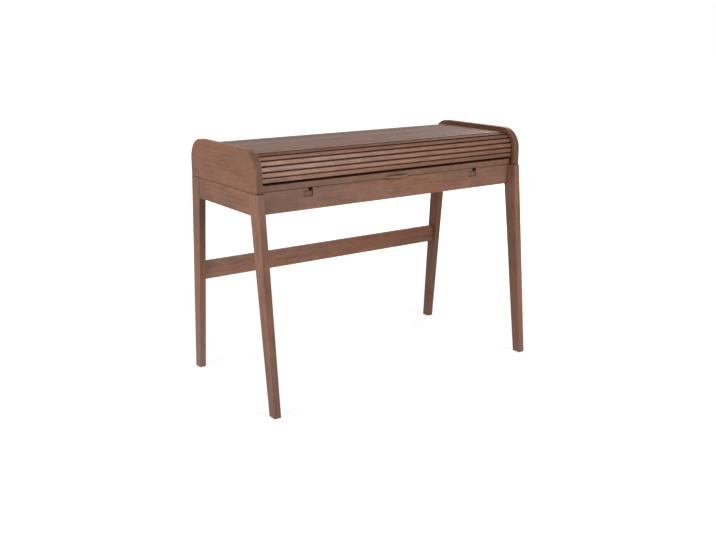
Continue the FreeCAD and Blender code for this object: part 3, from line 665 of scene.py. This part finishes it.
# Levels from left to right: painted shade on the flat top, and painted light that makes the other slats
# lighter at the left.
TOP_SHADED_TONES = (0.8, 0.7)
LEFT_LIT_TONES = (1.3, 0.66)
END_ON = 0.5
BROAD_ON = 0.3
slat_wood = stained_wood("slat_wood_stain", dark=swatch(120, 83, 64), middle=swatch(154, 111, 88),
                         light=swatch(177, 132, 106), red=swatch(164, 107, 81), grey=swatch(141, 109, 93),
                         roughness=0.42, gloss=0.17)
slats = ["lead_rail"] + [f"slat_{number:02d}" for number in range(1, SLAT_COUNT + 1)]
stain = random.Random(SLAT_SEED)
for node in slats:
    slat = copy_solid(node, node + "_finished")
    broad = max(slat.data.polygons, key=lambda face: face.area).normal.copy()
    # Painted shade: the arrises are darkened faintly and the sides fully, as the shade in the gaps between
    # slats.
    round_edges(slat, SLAT_ARRIS, steps=2, mark=FAINT_PAINTED_SHADE)
    mark_where(slat, lambda normal, centre: abs(normal.x) < END_ON and abs(normal.dot(broad)) < BROAD_ON,
               DARK_JOINT_OR_SHADE)
    # Each slat's own stain level, times its painted light and shade.
    level = stain.uniform(*SLAT_LEVELS)
    first, last = TOP_SHADED_TONES if abs(broad.z) > MOSTLY else LEFT_LIT_TONES
    dress(slat, node, SIDE_TO_SIDE, slat_wood, (first * level, last * level))

# Canvas: heavy cotton duck, dyed brown and glued behind the slats. It bends at the gaps between
# them, so each length of it goes with the slat that it is glued to.
THREAD = 0.0009
WAVE_AT_SCALE_ONE = 0.314
DIAGONAL = 1.41421
CLOTH_EASE = 0.0001


def threads(nodes, source, direction):
    """Threads side by side, as waves across one direction."""
    return put(nodes, "TexWave", [("Vector", source)],
               [("Scale", WAVE_AT_SCALE_ONE / THREAD), ("Distortion", 0.4)],
               wave_type="BANDS", bands_direction=direction).outputs["Fac"]


def slat_middle(node):
    """The middle of a slat's solid."""
    low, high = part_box(node)
    return (low + high) / 2


canvas_duck, nodes, surface = start_material("canvas_duck")
place = spot_on(nodes)
turned = put(nodes, "Mapping", [("Vector", place)],
             [("Rotation", (math.pi / 4, 0, 0)), ("Scale", (1, DIAGONAL, DIAGONAL))]).outputs[0]
weave = put(nodes, "Math", [(0, threads(nodes, place, "X")), (1, threads(nodes, turned, "Y"))],
            operation="MULTIPLY").outputs[0]
join(two_tone(nodes, weave, swatch(48, 34, 27), swatch(92, 69, 55)), surface["Base Color"])
raised = put(nodes, "Bump", [("Height", weave)], [("Strength", 0.5), ("Distance", 0.0003)])
join(raised.outputs["Normal"], surface["Normal"])
surface["Roughness"].default_value = 0.9
flat_slats = [node for node in slats if frame["nodes"][node]["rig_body"] == "shutter"]
lengths = [[node] for node in slats if node not in flat_slats]
lengths.insert(slats.index(flat_slats[0]), flat_slats)
for number, held in enumerate(lengths):
    cloth = copy_solid("canvas", f"canvas_length_{number + 1:02d}")
    cuts = []
    if number > 0:
        cuts.append((lengths[number - 1][-1], held[0]))
    if number < len(lengths) - 1:
        cuts.append((lengths[number + 1][0], held[-1]))
    edit(cloth, "FACE")
    if len(held) == 1:
        half = math.copysign(1, slat_middle(held[0]).y)
        trim((0, 0, 0), (0, -half, 0), SPECK)
    for beyond, own in cuts:
        outer = slat_middle(beyond)
        inner = slat_middle(own)
        away = (outer - inner).normalized()
        trim((outer + inner) / 2 - CLOTH_EASE * away, away, SPECK)
    bpy.ops.object.mode_set(mode="OBJECT")
    finish_faces(cloth, canvas_duck)
    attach(cloth, frame["nodes"][held[0]]["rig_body"])
    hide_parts("canvas")

# Studio: a pale floor that runs out of sight under a white sky and keeps the desk's shadow. Three
# large soft lights stand low at the left, in front at the right, and behind at the right, and the
# camera stands where the photographer did.
FLOOR_SIZE = 60
PAPER = (0.62, 0.62, 0.62, 1)
WHITE = (1, 1, 1, 1)
SKY = 0.28


def seen_by_eye(nodes):
    """1 for what the camera sees, straight, reflected or through glass, 0 for what only gives light."""
    ray = put(nodes, "LightPath").outputs
    seen = ray["Is Camera Ray"]
    for kind in ("Is Glossy Ray", "Is Transmission Ray"):
        seen = put(nodes, "Math", [(0, seen), (1, ray[kind])], operation="MAXIMUM").outputs[0]
    return seen


bpy.ops.object.select_all(action="DESELECT")
bpy.ops.mesh.primitive_plane_add(size=FLOOR_SIZE)
floor = bpy.context.object
floor.name = "studio_floor"
paper = bpy.data.materials.new("studio_paper")
paper.use_nodes = True
nodes = paper.node_tree.nodes
nodes.remove(nodes["Principled BSDF"])
away = put(nodes, "VectorMath", [(0, spot_on(nodes))], operation="LENGTH").outputs["Value"]
clear = put(nodes, "MapRange", [("Value", away)],
            [("From Min", 0.9), ("From Max", 2.2), ("To Min", 0.69), ("To Max", 1)],
            interpolation_type="SMOOTHSTEP").outputs[0]
glow = put(nodes, "Math", [(0, seen_by_eye(nodes)), (1, clear)], operation="MULTIPLY").outputs[0]
matt = put(nodes, "BsdfDiffuse", values=[("Color", PAPER)]).outputs[0]
white = put(nodes, "Emission", [("Strength", glow)], [("Color", WHITE)]).outputs[0]
blend = put(nodes, "AddShader", [(0, matt), (1, white)]).outputs[0]
join(blend, nodes["Material Output"].inputs["Surface"])
floor.data.materials.append(paper)

world = bpy.data.worlds.new("studio_sky")
bpy.context.scene.world = world
world.use_nodes = True
nodes = world.node_tree.nodes
strength = put(nodes, "MapRange", [("Value", seen_by_eye(nodes))], [("To Min", SKY), ("To Max", 1)])
nodes["Background"].inputs["Color"].default_value = WHITE
join(strength.outputs[0], nodes["Background"].inputs["Strength"])

AIM = Vector((0, 0, 0.6))
for name, spot, size, power in (("soft_key", Vector((-3.4, -0.6, 1.25)), 1.5, 52),
                                ("soft_front", Vector((1.2, -3.6, 2.0)), 1.6, 70),
                                ("soft_back", Vector((4.2, 2.6, 2.2)), 1.6, 60)):
    lamp = bpy.data.lights.new(name, "AREA")
    lamp.shape = "SQUARE"
    lamp.size = size
    lamp.energy = power
    light = bpy.data.objects.new(name, lamp)
    turn = (AIM - spot).to_track_quat("-Z", "Y")
    light.matrix_world = Matrix.Translation(spot) @ turn.to_matrix().to_4x4()
    bpy.context.scene.collection.objects.link(light)

EYE = Vector((-1.8293, -2.6391, 1.2092))
YAW, PITCH, ROLL = (math.radians(angle) for angle in (34.416, 15.051, -0.233))
camera = bpy.data.cameras.new("photo_camera")
camera.sensor_width = 36
camera.lens = 45.284
view = bpy.data.objects.new("photo_camera", camera)
view.matrix_world = (Matrix.Translation(EYE) @ Matrix.Rotation(-YAW, 4, "Z") @
                     Matrix.Rotation(math.pi / 2 - PITCH, 4, "X") @ Matrix.Rotation(ROLL, 4, "Z"))
bpy.context.scene.collection.objects.link(view)
bpy.context.scene.camera = view
bpy.context.scene.view_settings.view_transform = "Standard"
